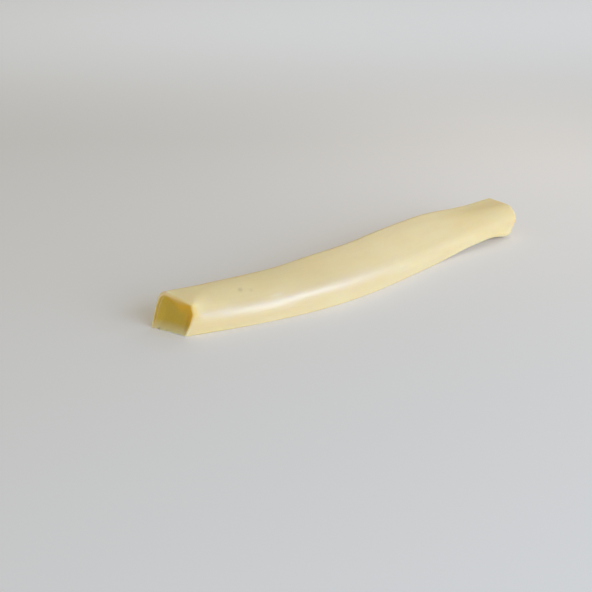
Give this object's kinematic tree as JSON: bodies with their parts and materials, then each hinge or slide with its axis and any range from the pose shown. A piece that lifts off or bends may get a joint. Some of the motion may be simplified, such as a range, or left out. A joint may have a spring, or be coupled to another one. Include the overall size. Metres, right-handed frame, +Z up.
{
  "type": "string cheese stick",
  "caption": "Bowed stick of pale yellow string cheese with a rounded four-sided section, cut off at a slant at both ends; a snack that is peeled into strings.",
  "frame": {"origin": "on the underside plane, below the middle of the stick's box", "axes": "+X along the stick towards the rounded cut, -Y towards the front with the ridge, +Z up"},
  "size_m": [0.1522, 0.0254, 0.0143],
  "materials": {
    "cheese": "smooth, slightly moist, pale yellow cheese with a soft sheen; light passes some millimetres into it"
  },
  "bodies": {
    "root": {"cheese_stick": "cheese"}
  },
  "joints": []
}
